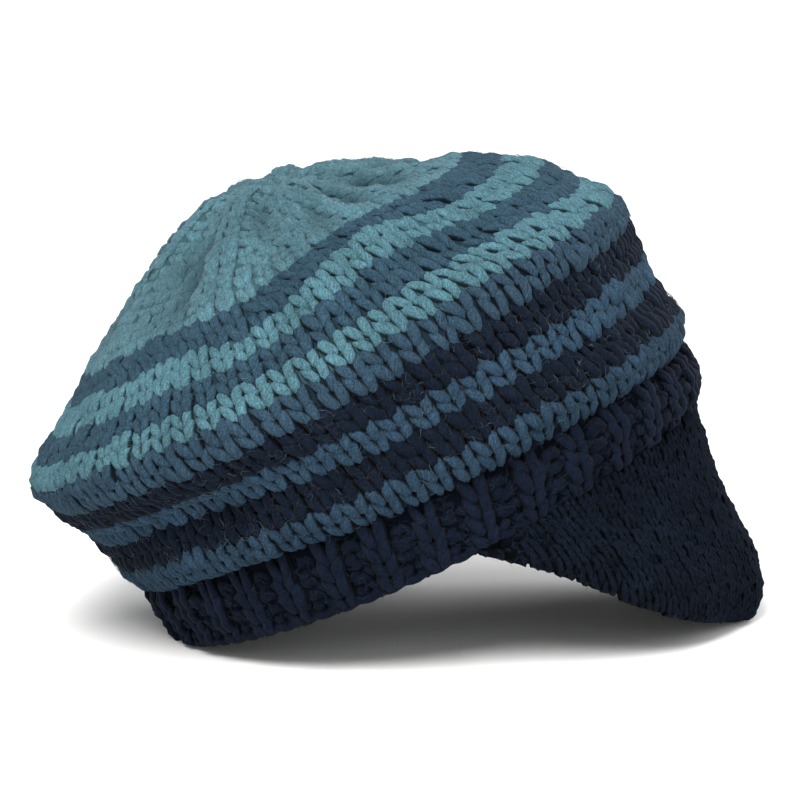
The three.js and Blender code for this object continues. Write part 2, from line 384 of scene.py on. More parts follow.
class Nodes:
    """Adds nodes and links to one material."""

    def __init__(self, material):
        self.tree = material.node_tree

    def add(self, kind, **inputs):
        node = self.tree.nodes.new(kind)
        for name, value in inputs.items():
            self.feed(node, name.replace("_", " "), value)
        return node

    def feed(self, node, name, value):
        socket = node.inputs[int(name)] if name.isdigit() else node.inputs[name]
        if isinstance(value, bpy.types.NodeSocket):
            self.tree.links.new(value, socket)
        else:
            socket.default_value = value

    def math(self, operation, first, second=0.0):
        node = self.tree.nodes.new("ShaderNodeMath")
        node.operation = operation
        self.feed(node, "0", first)
        self.feed(node, "1", second)
        return node.outputs[0]

    def mix(self, amount, first, second, blend="MIX"):
        """Mixes two colours. Their sockets are found by number, because several have the same name."""
        node = self.tree.nodes.new("ShaderNodeMix")
        node.data_type = "RGBA"
        node.blend_type = blend
        self.feed(node, "Factor", amount)
        self.feed(node, "6", first)
        self.feed(node, "7", second)
        return node.outputs[2]

    def ranged(self, value, start, end, low=0, high=1, smooth=False):
        """A value carried from one range to another."""
        node = self.add("ShaderNodeMapRange", Value=value)
        node.interpolation_type = "SMOOTHSTEP" if smooth else "LINEAR"
        for name, edge in (("From Min", start), ("From Max", end), ("To Min", low), ("To Max", high)):
            self.feed(node, name, edge)
        return node.outputs[0]


# The yarn: two plies wound round each other, in millimetres along it
TWIST_LENGTH = 15.0
PLY_COUNT = 2
PLY_ROUNDNESS = 0.55
FIBRE_WIDTH, FIBRE_LENGTH = 1.6, 0.1
PLY_RELIEF = 0.22
FIBRE_RELIEF = 0.45
FELT_RELIEF = 0.16
RELIEF_HEIGHT = 0.0006

# Scale, detail and roughness of the noises: fibres along the yarn, uneven dye, matted fibres
FIBRE_NOISE = {"Scale": 5.0, "Detail": 4.0, "Roughness": 0.65}
DYE_NOISE = {"Scale": 55.0, "Detail": 3.0}
FELT_NOISE = {"Scale": 1500.0, "Detail": 3.0}
CORE_NOISE = {"Scale": 700.0, "Detail": 3.0}

# Tones, as parts of the wool's colour. A range is followed by the tones that it is carried to. The groove,
# buried-yarn, crease and gather values paint shade into the colour; the fibre, dye, felt and core tones
# differ at random
FIBRE_RANGE = (0.34, 0.68)
DARK_FIBRE, LIGHT_FIBRE = 0.55, 1.5
GROOVE_SHADE_RANGE = (0, 0.35, 0.7)
GROOVE_SHADE = 0.6
DYE_RANGE = (0.3, 0.7, 0.80, 1.20)
FELT_RANGE = (0.35, 0.65, 0.7, 1.32)
BURIED_SHADE_RANGE = (0.1, 0.62)
CREASE_SHADE_START = 0.66
GATHER_SHADE_TONE = 0.34
DARK_CORE, LIGHT_CORE = 0.6, 1.3

WOOL_ROUGHNESS, CORE_ROUGHNESS = 0.95, 1.0
WOOL_SPECULAR = 0.04
FUZZ_ROUGHNESS, FUZZ_PALENESS = 0.45, 0.35

# What differs from wool to wool: how far round the yarn its creases lie and the tone of their painted
# shade, how much of that shade shows inside a stitch, the tone of the painted shade on yarn that lies deep,
# and how fuzzy the yarn is
WOOL_COLUMNS = ("crease_at", "crease_shade", "inner_crease", "buried_shade", "fuzz")
STRIPE_WOOL = dict(zip(WOOL_COLUMNS, (0.185, 0.17, 1.0, 0.3, 0.05)))
TOP_WOOL = dict(zip(WOOL_COLUMNS, (0.185, 0.2, 0.5, 0.5, 0.22)))
VISOR_WOOL = dict(zip(WOOL_COLUMNS, (0.14, 0.07, 1.0, 0.3, 0.02)))


def shade(colour, factor):
    return tuple(min(1.0, c * factor) for c in colour) + (1,)


def yarn_winding(nodes):
    """A place's length along the yarn, its way round the yarn, and its turn round the wound plies."""
    yarn = nodes.add("ShaderNodeUVMap")
    yarn.uv_map = "yarn"
    parts = nodes.add("ShaderNodeSeparateXYZ", Vector=yarn.outputs["UV"])
    length, around = parts.outputs["X"], parts.outputs["Y"]
    turns = nodes.math("SUBTRACT", around, nodes.math("DIVIDE", length, TWIST_LENGTH))
    return length, around, nodes.math("MULTIPLY", turns, 2 * math.pi)


def fine_fibres(nodes, length, wound):
    """Fine fibres that run along the yarn and follow its winding."""
    place = nodes.add("ShaderNodeCombineXYZ")
    nodes.feed(place, "X", nodes.math("MULTIPLY", nodes.math("SINE", wound), FIBRE_WIDTH))
    nodes.feed(place, "Y", nodes.math("MULTIPLY", nodes.math("COSINE", wound), FIBRE_WIDTH))
    nodes.feed(place, "Z", nodes.math("MULTIPLY", length, FIBRE_LENGTH))
    return nodes.add("ShaderNodeTexNoise", Vector=place.outputs[0], **FIBRE_NOISE).outputs["Fac"]


def dyed_wool_with_groove_shade(nodes, colour, ply, fibres, place, felt):
    """Streaked by its fibres, with painted shade in the groove between the plies, unevenly dyed and
    speckled.
    """
    streak = nodes.ranged(fibres, *FIBRE_RANGE)
    body = nodes.mix(streak, shade(colour, DARK_FIBRE), shade(colour, LIGHT_FIBRE))
    # Painted shade: the groove between the plies is darkened
    body = nodes.mix(nodes.ranged(ply, *GROOVE_SHADE_RANGE), shade(colour, GROOVE_SHADE), body)
    dye = nodes.add("ShaderNodeTexNoise", Vector=place, **DYE_NOISE).outputs["Fac"]
    both = nodes.math("MULTIPLY", nodes.ranged(dye, *DYE_RANGE), nodes.ranged(felt, *FELT_RANGE))
    grey = nodes.add("ShaderNodeCombineColor", Red=both, Green=both, Blue=both)
    return nodes.mix(1.0, body, grey.outputs[0], blend="MULTIPLY")


def crease_shaded(nodes, body, colour, around, crease_at, crease_shade, inner_crease):
    """Painted shade where the sides of two yarns meet: inside a stitch, and between it and the next."""
    away = nodes.math("ABSOLUTE", nodes.math("SUBTRACT", around, 0.5))
    crease = nodes.ranged(away, CREASE_SHADE_START * crease_at, crease_at, smooth=True)
    between = nodes.ranged(nodes.math("GREATER_THAN", around, 0.5), 0, 1, inner_crease)
    return nodes.mix(nodes.math("MULTIPLY", crease, between), body, shade(colour, crease_shade))


def shaded_by_depth(nodes, body, colour, buried_shade):
    """Painted shade where the yarn lies deep, and in the gathers, by the marks on the mesh."""
    layer = nodes.add("ShaderNodeUVMap")
    layer.uv_map = "shown"
    shown = nodes.add("ShaderNodeSeparateXYZ", Vector=layer.outputs["UV"])
    forward = nodes.ranged(shown.outputs["X"], *BURIED_SHADE_RANGE, smooth=True)
    body = nodes.mix(forward, shade(colour, buried_shade), body)
    return nodes.mix(shown.outputs["Y"], body, shade(colour, GATHER_SHADE_TONE))


def wool_material(name, colour, crease_at, crease_shade, inner_crease, buried_shade, fuzz):
    """Two-ply wool: a groove winds round the yarn, fine fibres follow it, and the dye is uneven. Painted
    shade darkens the groove, the creases, deep-lying yarn and the gathers.
    """
    material = bpy.data.materials.new(name)
    material.use_nodes = True
    nodes = Nodes(material)
    shader = material.node_tree.nodes["Principled BSDF"]
    length, around, wound = yarn_winding(nodes)
    ply = nodes.math("ABSOLUTE", nodes.math("SINE", nodes.math("MULTIPLY", wound, PLY_COUNT / 2)))
    fibres = fine_fibres(nodes, length, wound)
    place = nodes.add("ShaderNodeTexCoord").outputs["Object"]
    felt = nodes.add("ShaderNodeTexNoise", Vector=place, **FELT_NOISE).outputs["Fac"]

    body = dyed_wool_with_groove_shade(nodes, colour, ply, fibres, place, felt)
    body = crease_shaded(nodes, body, colour, around, crease_at, crease_shade, inner_crease)
    nodes.feed(shader, "Base Color", shaded_by_depth(nodes, body, colour, buried_shade))

    round_ply = nodes.math("MULTIPLY", nodes.math("POWER", ply, PLY_ROUNDNESS), PLY_RELIEF)
    coarse, fine = nodes.math("MULTIPLY", fibres, FIBRE_RELIEF), nodes.math("MULTIPLY", felt, FELT_RELIEF)
    height = nodes.math("ADD", round_ply, nodes.math("ADD", coarse, fine))
    bump = nodes.add("ShaderNodeBump", Height=height, Strength=1.0, Distance=RELIEF_HEIGHT)
    nodes.feed(shader, "Normal", bump.outputs[0])
    shader.inputs["Roughness"].default_value = WOOL_ROUGHNESS
    shader.inputs["Specular IOR Level"].default_value = WOOL_SPECULAR
    shader.inputs["Sheen Weight"].default_value = fuzz
    shader.inputs["Sheen Roughness"].default_value = FUZZ_ROUGHNESS
    pale = tuple(FUZZ_PALENESS + (1 - FUZZ_PALENESS) * c for c in colour)
    shader.inputs["Sheen Tint"].default_value = shade(pale, 1)
    return material


def plain_wool(name, colour):
    """Matted wool seen only in the gaps between the stitches, whose darkened colour is painted shade, and
    the stray hairs.
    """
    material = bpy.data.materials.new(name)
    material.use_nodes = True
    nodes = Nodes(material)
    shader = material.node_tree.nodes["Principled BSDF"]
    place = nodes.add("ShaderNodeTexCoord").outputs["Object"]
    felt = nodes.add("ShaderNodeTexNoise", Vector=place, **CORE_NOISE).outputs["Fac"]
    nodes.feed(shader, "Base Color", nodes.mix(felt, shade(colour, DARK_CORE), shade(colour, LIGHT_CORE)))
    shader.inputs["Roughness"].default_value = CORE_ROUGHNESS
    shader.inputs["Specular IOR Level"].default_value = WOOL_SPECULAR
    return material


# Meshes

# Each length of yarn starts at another place in the pattern of its wool, up to this far along it
LARGEST_SHIFT = 300


def add_layer(mesh, name, values):
    layer = mesh.uv_layers.new(name=name)
    layer.data.foreach_set("uv", values.astype(np.float32).ravel())


def quads_to_object(name, points, quads, materials, slots=None, uv=None, shown=None):
    """Makes an object from an array of points in millimetres and an array of four-cornered faces."""
    mesh = bpy.data.meshes.new(name)
    points = (points + SHIFT) * MM
    mesh.vertices.add(len(points))
    mesh.vertices.foreach_set("co", points.astype(np.float32).ravel())
    mesh.loops.add(quads.size)
    mesh.loops.foreach_set("vertex_index", quads.astype(np.int32).ravel())
    mesh.polygons.add(len(quads))
    mesh.polygons.foreach_set("loop_start", np.arange(0, quads.size, 4, dtype=np.int32))
    if slots is not None:
        mesh.polygons.foreach_set("material_index", slots.astype(np.int32))
    mesh.update(calc_edges=True)
    mesh.polygons.foreach_set("use_smooth", np.full(len(quads), True))
    if uv is not None:
        add_layer(mesh, "yarn", uv)
        add_layer(mesh, "shown", shown[quads.ravel()])
    for material in materials:
        mesh.materials.append(material)
    mesh.validate()
    thing = bpy.data.objects.new(name, mesh)
    bpy.context.scene.collection.objects.link(thing)
    return thing


def tube(centres, normals, radii, shown, sides, closed=True):
    """Points, faces, yarn coordinates and the marks for painted shade at each point, such as how far
    forward it lies, of a tube along a path.

    Its seam lies on the inner side."""
    count = len(centres)
    if closed:
        ahead = np.roll(centres, -1, 0)
        tangents = unit(ahead - np.roll(centres, 1, 0))
        steps = np.linalg.norm(ahead - centres, axis=1)
    else:
        tangents = unit(np.gradient(centres, axis=0))
        steps = np.linalg.norm(np.diff(centres, axis=0), axis=1)
    sideways = unit(np.cross(tangents, normals))
    upward = np.cross(sideways, tangents)
    turns = np.arange(sides) / sides
    angles = 2 * math.pi * turns + math.pi
    ring = upward[:, None] * np.cos(angles)[:, None] + sideways[:, None] * np.sin(angles)[:, None]
    points = (centres[:, None] + ring * radii[:, None, None]).reshape(-1, 3)
    rows = np.arange(count if closed else count - 1)[:, None]
    columns = np.arange(sides)[None]
    next_row = (rows + 1) % count
    next_column = (columns + 1) % sides
    quads = np.stack([
        rows * sides + columns,
        next_row * sides + columns,
        next_row * sides + next_column,
        rows * sides + next_column,
    ], axis=-1).reshape(-1, 4)
    reached = np.concatenate([[0], np.cumsum(steps)])
    start = np.broadcast_to(reached[rows], (len(rows), sides))
    end = np.broadcast_to(reached[rows + 1], (len(rows), sides))
    low = np.broadcast_to(columns / sides, start.shape)
    high = low + 1 / sides
    uv = np.stack([
        np.stack([start, low], -1), np.stack([end, low], -1),
        np.stack([end, high], -1), np.stack([start, high], -1),
    ], axis=2).reshape(-1, 2)
    return points, quads, uv, np.repeat(shown, sides, axis=0)


class Skein:
    """Gathers tubes into one mesh."""

    def __init__(self):
        self.points, self.quads, self.uv, self.shown = [], [], [], []
        self.count = 0

    def add(self, points, quads, uv, shown):
        self.points.append(points)
        self.quads.append(quads + self.count)
        self.uv.append(uv + np.array([RANDOM.uniform(0, LARGEST_SHIFT), 0]))
        self.shown.append(shown)
        self.count += len(points)

    def make(self, name, material):
        return quads_to_object(
            name, np.concatenate(self.points), np.concatenate(self.quads), [material],
            uv=np.concatenate(self.uv), shown=np.concatenate(self.shown),
        )


# Stitches

STITCHES_ROUND = 72
SECTORS = 8
SECTOR_STITCHES = STITCHES_ROUND // SECTORS
TOP_COURSE = 22

# The yarn, in millimetres, with the points that a stitch has and the sides of the yarn
YARN_RADIUS = 2.35
THINNEST_YARN = 1.5
YARN_SWING = 1.35
FACE_DEPTH = -0.3
LOOP_TUCK = 0.45
RADIUS_END, RADIUS_MIDDLE = 0.62, 0.43
MOST_FORWARD = 1.2
SEGMENTS = 14
YARN_SIDES = 7

# The loops, as parts of a stitch
LOOP_WIDEN = 1.2
LOOP_REACH = 0.95
LOOP_SKEW = 0.07
LOOP_PINCH = 0.01
YARN_PER_WALE = 0.285

# How uneven the loops are in all, and how much of that goes into each measure
LOOP_JITTER, VISOR_JITTER = 1.7, 2.3
UNEVEN_WIDTH, UNEVEN_PLACE, UNEVEN_HEIGHT, UNEVEN_THICKNESS, UNEVEN_FRONT = 0.08, 0.04, 0.06, 0.07, 0.15

# The top, where the stitches grow fuller, slimmer at the foot and deeper between wales, with painted shade
# on the ends of its stitches, in its gathers and between its wales
TOP_START, FULL_START, TOP_COURSES = 20, 21, 4
TOP_FULLNESS = 0.11
TOP_PINCH = 0.015
TOP_DEEP_SHADE = 0.3
TOP_VALLEY = 1.4
GATHER_FULL_SHADE = 5.0
WALE_SHADE = 1.0
LAST_LEVEL = LAST_COURSE - 1.5

# The rib
RIB_LIFT = 0.8
RIB_SUNK = 0.5
RIB_SHARPNESS = 1.7
RIB_NARROW = -0.04
RIB_WIDEN = 1.15
# Painted shade on the purl stitches, which lie behind
PURL_SHADE = 0.35

# Where the first and last courses of a piece go under the next piece
FIRST_STRIPE_REACH, FIRST_STRIPE_BURIED = 0.72, 2.4
CAST_ON_REACH, LAST_RIB_BURIED = 0.36, 1.6

# How much of its radius the lowest yarn keeps above the floor
PRESSED = 0.95

# The yarn that closes the crown: its course, with three waves round, its depth and radius
CLOSING_COURSE, CLOSING_WAVES, CLOSING_WAVE = 38.1, 3, 0.15
CLOSING_DEPTH, CLOSING_RADIUS = 1.5, 1.7
CLOSING_STEP = 15.0

# The cast-on strand: each value, and how far it swings to either side
CAST_ON_COURSE, CAST_ON_DEPTH, CAST_ON_RADIUS = (0.14, 0.1), (3.1, 0.5), (1.9, 0.2)
# Painted shade on the cast-on strand, which lies tucked behind the rib
CAST_ON_SHADE = 0.3
CAST_ON_SEGMENTS = 6

# The course of each decrease round; every sector loses one stitch there
DECREASES = (21, 25, 27, 29, 31, 33, 35, 37)


def sector_angles(course):
    """The angle of each stitch that the course has, by sector and place in the sector."""
    count = SECTOR_STITCHES - sum(course >= first for first in DECREASES)
    width = 360 / SECTORS
    return [sector * width + (np.arange(count) + 0.5) * width / count for sector in range(SECTORS)]


def wale_angles(course):
    """For each stitch of a course: its angle one course lower, at the course, and one course higher."""
    middle, below, above = [], [], []
    rows = zip(sector_angles(course - 1), sector_angles(course), sector_angles(course + 1))
    for low_row, here, high_row in rows:
        for place, angle in enumerate(here):
            middle.append(angle)
            below.append(low_row[min(place, len(low_row) - 1)])
            above.append(high_row[min(place, len(high_row) - 1)])
    return np.array(below), np.array(middle), np.array(above)


def loop_shape(count, segments, jitter=LOOP_JITTER, pinch=LOOP_PINCH, loop_widen=LOOP_WIDEN):
    """One course of loops: place across the stitch, place up it, how far in front, and thickness."""
    t = -math.pi + 2 * math.pi * (np.arange(segments) + 0.5) / segments
    t = np.tile(t, (count, 1))
    window = np.cos(t / 2) ** 2
    uneven = RANDOM.normal(0, jitter, (5, count, 1)) * window
    widen = loop_widen * (1 + UNEVEN_WIDTH * uneven[0])
    up_stitch = LOOP_REACH * np.cos(t) * (1 + UNEVEN_HEIGHT * uneven[2])
    across_stitch = (t + widen * np.sin(2 * t)) / (2 * math.pi) + UNEVEN_PLACE * uneven[1]
    across_stitch = across_stitch + LOOP_SKEW * up_stitch - pinch * np.sin(t)
    front = (1 - np.cos(2 * t)) / 2 + UNEVEN_FRONT * uneven[4]
    thick = 1 + UNEVEN_THICKNESS * uneven[3]
    return across_stitch, up_stitch, front, thick


def yarn_radius(level, angle, stitch_angle):
    """The yarn swells to fill its wale, but no further than its own thickness."""
    step = ring_point(level, angle + 1) - ring_point(level, angle - 1)
    pitch = np.linalg.norm(step, axis=-1) / 2 * stitch_angle
    fullness = YARN_PER_WALE + TOP_FULLNESS * np.clip((level - FULL_START) / TOP_COURSES, 0, 1)
    return np.clip(fullness * pitch, THINNEST_YARN, YARN_RADIUS)


def gather_shade(course, angle):
    """The painted shade in the gathers of the top, from 0 to 1, by how deep a place lies in them."""
    return np.clip(valley_depth(course, angle) / GATHER_FULL_SHADE, 0, 1)


def marks(front, shaded):
    """What the wool's painted shade needs at each point: how far forward it lies, and how much shade is
    painted on it besides.
    """
    return np.stack([front.ravel(), shaded.ravel()], axis=-1)


def rib_lie(count, across_stitch, front, lift):
    """How a rib's stitches lie, every other one behind: depth, what is in front, and the painted shade on
    those behind.
    """
    flip = np.cos(math.pi * (np.arange(count)[:, None] + across_stitch))
    flip = np.clip(RIB_SHARPNESS * flip, -1, 1)
    depth = YARN_RADIUS + RIB_SUNK + lift - flip * (lift + YARN_SWING * (2 * front - 1))
    return depth, np.where(flip > 0, front, 1 - front), PURL_SHADE * (1 - flip) / 2


def course_path(course, segments, low_reach=1.0, rib=0.0, bury_top=0.0, bury_foot=0.0):
    """The yarn path of one course round the hat, its normals, its thickness and its marks for painted
    shade.
    """
    below, middle, above = wale_angles(course)
    count = len(middle)
    top = np.clip((course - TOP_START) / TOP_COURSES, 0, 1)
    pinch = LOOP_PINCH + TOP_PINCH * top
    widen = RIB_WIDEN if rib else LOOP_WIDEN
    across_stitch, up_stitch, front, thick = loop_shape(count, segments, pinch=pinch, loop_widen=widen)
    up_stitch = np.where(up_stitch < 0, up_stitch * low_reach, up_stitch)
    down, up = np.clip(-up_stitch, 0, 1), np.clip(up_stitch, 0, 1)
    wale = middle[:, None] * (1 - down - up) + below[:, None] * down + above[:, None] * up
    stitch_angle = (np.roll(middle, -1) - np.roll(middle, 1)) % 360 / 2
    purl = np.arange(count)[:, None] % 2
    breadth = 1 + RIB_NARROW * (2 * purl - 1) if rib else 1
    angle = wale + across_stitch * breadth * stitch_angle[:, None]
    level = course + 0.5 + up_stitch
    wide = np.broadcast_to(stitch_angle[:, None], angle.shape)
    radii = yarn_radius(np.minimum(level, LAST_LEVEL), angle, wide)
    if rib:
        depth, front, shaded = rib_lie(count, across_stitch, front, rib)
    else:
        depth = YARN_RADIUS + FACE_DEPTH + 2 * YARN_SWING * (1 - front) + LOOP_TUCK * up_stitch
        depth = depth + TOP_VALLEY * top * (4 * across_stitch ** 2 - 0.25)
        # Painted shade in the gathers and between the wales of the top
        between = np.abs(2 * across_stitch) ** 3
        shaded = np.clip(gather_shade(level, angle) + WALE_SHADE * top * between, 0, 1)
    depth = depth + bury_top * up + bury_foot * down ** 2
    level, angle = level.ravel(), angle.ravel()
    face, normal = knit_surface(level, angle)
    centres = face - normal * depth.ravel()[:, None]
    radii = radii * (RADIUS_END + RADIUS_MIDDLE * np.clip(front, 0, MOST_FORWARD)) * thick
    # Painted shade: at the top the yarn is marked as lying deeper, so that more of its ends is darkened
    shown = front * (1 - TOP_DEEP_SHADE * top)
    return centres, normal, radii.ravel(), marks(shown, shaded)


def press(points, lowest):
    """Keeps a path above the floor: what would lie under it is pressed flat."""
    pressed = points.copy()
    pressed[:, 2] = np.maximum(pressed[:, 2], lowest)
    return pressed


def knit_stripe(first, past):
    skein = Skein()
    for course in range(first, past):
        first_row = course == BAND_COURSES
        low_reach, bury_foot = (FIRST_STRIPE_REACH, FIRST_STRIPE_BURIED) if first_row else (1.0, 0)
        skein.add(*tube(*course_path(course, SEGMENTS, low_reach, bury_foot=bury_foot), YARN_SIDES))
    return skein


def closing_yarn():
    """The yarn that draws the last stitches together at the middle of the crown."""
    angle = np.arange(0, 360, CLOSING_STEP)
    count = len(angle)
    level = CLOSING_COURSE + CLOSING_WAVE * np.sin(np.radians(CLOSING_WAVES * angle))
    face, normal = knit_surface(level, angle)
    centres = face - normal * CLOSING_DEPTH
    return centres, normal, np.full(count, CLOSING_RADIUS), marks(np.ones(count), np.zeros(count))


def finish_piece(thing, node):
    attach(thing, "root")
    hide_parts(node)


def knit_crown():
    for name, yarn, tone, first, past in STRIPES:
        skein = knit_stripe(first, past)
        at_top = first >= TOP_COURSE
        if at_top:
            skein.add(*tube(*closing_yarn(), YARN_SIDES))
        wool = wool_material("wool_" + name, shade(yarn, tone)[:3], **(TOP_WOOL if at_top else STRIPE_WOOL))
        thing = skein.make("crown_" + name, wool)
        finish_piece(thing, "crown")


def cast_on_edge():
    """The plaited cast-on strand along the hem."""
    angle = np.arange(0, 360, 360 / (STITCHES_ROUND * CAST_ON_SEGMENTS))
    ripple = np.radians(angle * STITCHES_ROUND)
    level, level_swing = CAST_ON_COURSE
    depth, depth_swing = CAST_ON_DEPTH
    radius, radius_swing = CAST_ON_RADIUS
    face, normal = knit_surface(level + level_swing * np.cos(ripple), angle)
    centres = face - normal * (depth + depth_swing * np.sin(ripple))[:, None]
    shown = marks(np.ones(len(angle)), np.full(len(angle), CAST_ON_SHADE))
    return press(centres, radius), normal, radius + radius_swing * np.cos(ripple), shown


def knit_band():
    skein = Skein()
    for course in range(BAND_COURSES):
        low_reach = CAST_ON_REACH if course == 0 else 1.0
        bury_top = LAST_RIB_BURIED if course == BAND_COURSES - 1 else 0
        centres, normals, radii, shown = course_path(course, SEGMENTS, low_reach, RIB_LIFT, bury_top)
        skein.add(*tube(press(centres, YARN_RADIUS * PRESSED), normals, radii, shown, YARN_SIDES))
    skein.add(*tube(*cast_on_edge(), YARN_SIDES))
    thing = skein.make("band_rib", wool_material("wool_band", BAND_COLOUR, **STRIPE_WOOL))
    finish_piece(thing, "ribbed_band")


# Visor

VISOR_WALES = 48
MOST_VISOR_COURSES, FEWEST_WALES = 40, 3
VISOR_PITCH = 3.35
VISOR_YARN = 1.6
VISOR_CLEARANCE = 0.05
VISOR_SWING = 1.6
VISOR_TUCK = 0.25
# Painted shade: the visor's yarn is marked as lying deeper by this factor, so more of it is darkened
VISOR_DEEP_SHADE = 0.68
VISOR_RADIUS_END, VISOR_RADIUS_MIDDLE = 0.72, 0.28
VISOR_SEGMENTS = 10
VISOR_SIDES = 6
VISOR_LEAN = 0.16

# The visor thins toward its ends, and its loops lie flatter in the last millimetres before its edge
VISOR_TAPER, TAPER_POWER = 0.75, 6
EDGE_CALM, EDGE_WIDTH = 0.92, 7


def visor_angle(start_angle, reach):
    """Where a wale that starts at one angle of the rim has got to: the wales lean toward the front."""
    lean = VISOR_LEAN * (1 - np.abs(start_angle / VISOR_HALF_ANGLE) ** 4)
    return start_angle * (1 - lean * reach)


def visor_frame(start_angle, reach):
    """The visor's middle, outward normal and down direction along a wale."""
    step = 0.02
    middle = np.clip(reach, step, 1 - step)
    before, after = middle - step, middle + step
    angle = visor_angle(start_angle, reach)
    point = visor_middle(angle, reach)
    fall = visor_middle(angle, after) - visor_middle(angle, before)
    turn = visor_middle(angle + 1, reach) - visor_middle(angle - 1, reach)
    normal = unit(np.cross(turn, fall))
    wale_end = visor_middle(visor_angle(start_angle, after), after)
    down = wale_end - visor_middle(visor_angle(start_angle, before), before)
    return point, normal, unit(down - normal * np.sum(down * normal, -1, keepdims=True))


def visor_half(start_angle):
    """Half the visor's thickness."""
    thinned = VISOR_TAPER * np.abs(start_angle / VISOR_HALF_ANGLE) ** TAPER_POWER
    return VISOR_HALF_THICKNESS * (1 - thinned)


def visor_lengths():
    """The length of a wale from the rim to the edge, for a row of angles from the front to one side."""
    angles = np.linspace(0, VISOR_HALF_ANGLE, VISOR_HALF_ANGLE // 2 + 1)
    reaches = np.linspace(0, 1, 17)
    grid_angle, grid_reach = np.meshgrid(angles, reaches, indexing="ij")
    points = visor_middle(visor_angle(grid_angle, grid_reach), grid_reach)
    return angles, np.linalg.norm(np.diff(points, axis=1), axis=2).sum(1)


VISOR_LENGTHS = visor_lengths()


def visor_length(start_angle):
    return np.interp(np.abs(start_angle), *VISOR_LENGTHS)


def visor_surface(start_angle, run, side, depth):
    """A point under the visor's face, a run of millimetres down one side of it and round its edge."""
    length = visor_length(start_angle)
    half = visor_half(start_angle)
    reach = np.clip(run / length, 0, 1)
    curl = np.clip((run - length) / half, 0, math.pi / 2)
    point, normal, down = visor_frame(start_angle, reach)
    out = normal * (side * np.cos(curl))[..., None] + down * np.sin(curl)[..., None]
    return point + out * (half - depth)[..., None], out


def visor_course(course):
    """The yarn path of one visor course: across the top layer, round the edge, back along the other."""
    centre_run = (course + 0.5) * VISOR_PITCH
    width = 2 * VISOR_HALF_ANGLE / VISOR_WALES
    wales = -VISOR_HALF_ANGLE + width * (np.arange(VISOR_WALES) + 0.5)
    lengths = visor_length(wales) + visor_half(wales) * math.pi / 2
    wales = wales[lengths > centre_run]
    if len(wales) < FEWEST_WALES:
        return None
    paths = []
    for side in (1, -1):
        across_stitch, up_stitch, front, thick = loop_shape(len(wales), VISOR_SEGMENTS, VISOR_JITTER)
        angle = (wales[:, None] + across_stitch * width).ravel()
        run = (centre_run + up_stitch * VISOR_PITCH).ravel()
        edge = visor_length(wales)[:, None]
        near_edge = np.clip((centre_run - edge + EDGE_WIDTH) / EDGE_WIDTH, 0, 1)
        swing = VISOR_SWING * (1 - EDGE_CALM * near_edge)
        lie = VISOR_YARN + VISOR_CLEARANCE + swing * (1 - front) + VISOR_TUCK * swing * up_stitch
        angle = np.clip(angle, -VISOR_HALF_ANGLE, VISOR_HALF_ANGLE)
        centres, normals = visor_surface(angle, run, side, lie.ravel())
        fullness = VISOR_RADIUS_END + VISOR_RADIUS_MIDDLE * np.clip(front, 0, MOST_FORWARD)
        radii = (VISOR_YARN * fullness * thick).ravel()
        # Painted shade on the visor's deep-lying yarn
        shown = marks(VISOR_DEEP_SHADE * front, np.zeros(front.shape))
        order = slice(None) if side > 0 else slice(None, None, -1)
        paths.append((centres[order], normals[order], radii[order], shown[order]))
    return paths


def knit_visor():
    outer, inner = Skein(), Skein()
    for course in range(MOST_VISOR_COURSES):
        paths = visor_course(course)
        if paths is None:
            break
        for skein, (centres, normals, radii, shown) in zip((outer, inner), paths):
            centres = press(centres, VISOR_YARN * PRESSED)
            skein.add(*tube(centres, normals, radii, shown, VISOR_SIDES, closed=False))
    for skein, name in ((outer, "visor_top"), (inner, "visor_underside")):
        thing = skein.make(name, wool_material("wool_" + name, VISOR_COLOUR, **VISOR_WOOL))
        finish_piece(thing, "visor")


# Matted core under the stitches, so that no gap shows through. It is darker than the yarn, as painted shade
# in the gaps

# How deep the core lies by course, in millimetres, and how dark its painted shade is
CORE_COURSES = (4, 12, 21, 24)
CORE_DEPTHS = (2.9, 2.4, 1.4, 0.9)
CORE_THICKNESS = 0.8
CORE_POINTS = 144
CORE_CLEARANCE = 1.2
CORE_SHADE = 0.35
TOP_CORE_SHADE = 0.5
CORE_SHADE_START = 12

# Where the core's rows lie: the last one of the crown is drawn in to a fraction of its width
CROWN_CORE_END, CROWN_CORE_STEP, CROWN_CORE_LAST = 38.6, 0.5, 38.9
CORE_CLOSING = 0.04
BAND_CORE_START, BAND_CORE_STEP = 0.4, 0.4
VISOR_CORE_COLUMNS, VISOR_CORE_ROWS = 61, 15
VISOR_CORE_DEPTH, VISOR_CORE_SHARE, VISOR_CORE_CLEARANCE = 1.9, 0.6, 1.0


def row_faces(row, next_row, count):
    """The faces between one row of points and the next, each row running round to its first point."""
    column = np.arange(count)[None]
    next_column = (column + 1) % count
    return np.stack([
        row * count + column,
        row * count + next_column,
        next_row * count + next_column,
        next_row * count + column,
    ], axis=-1).reshape(-1, 4)


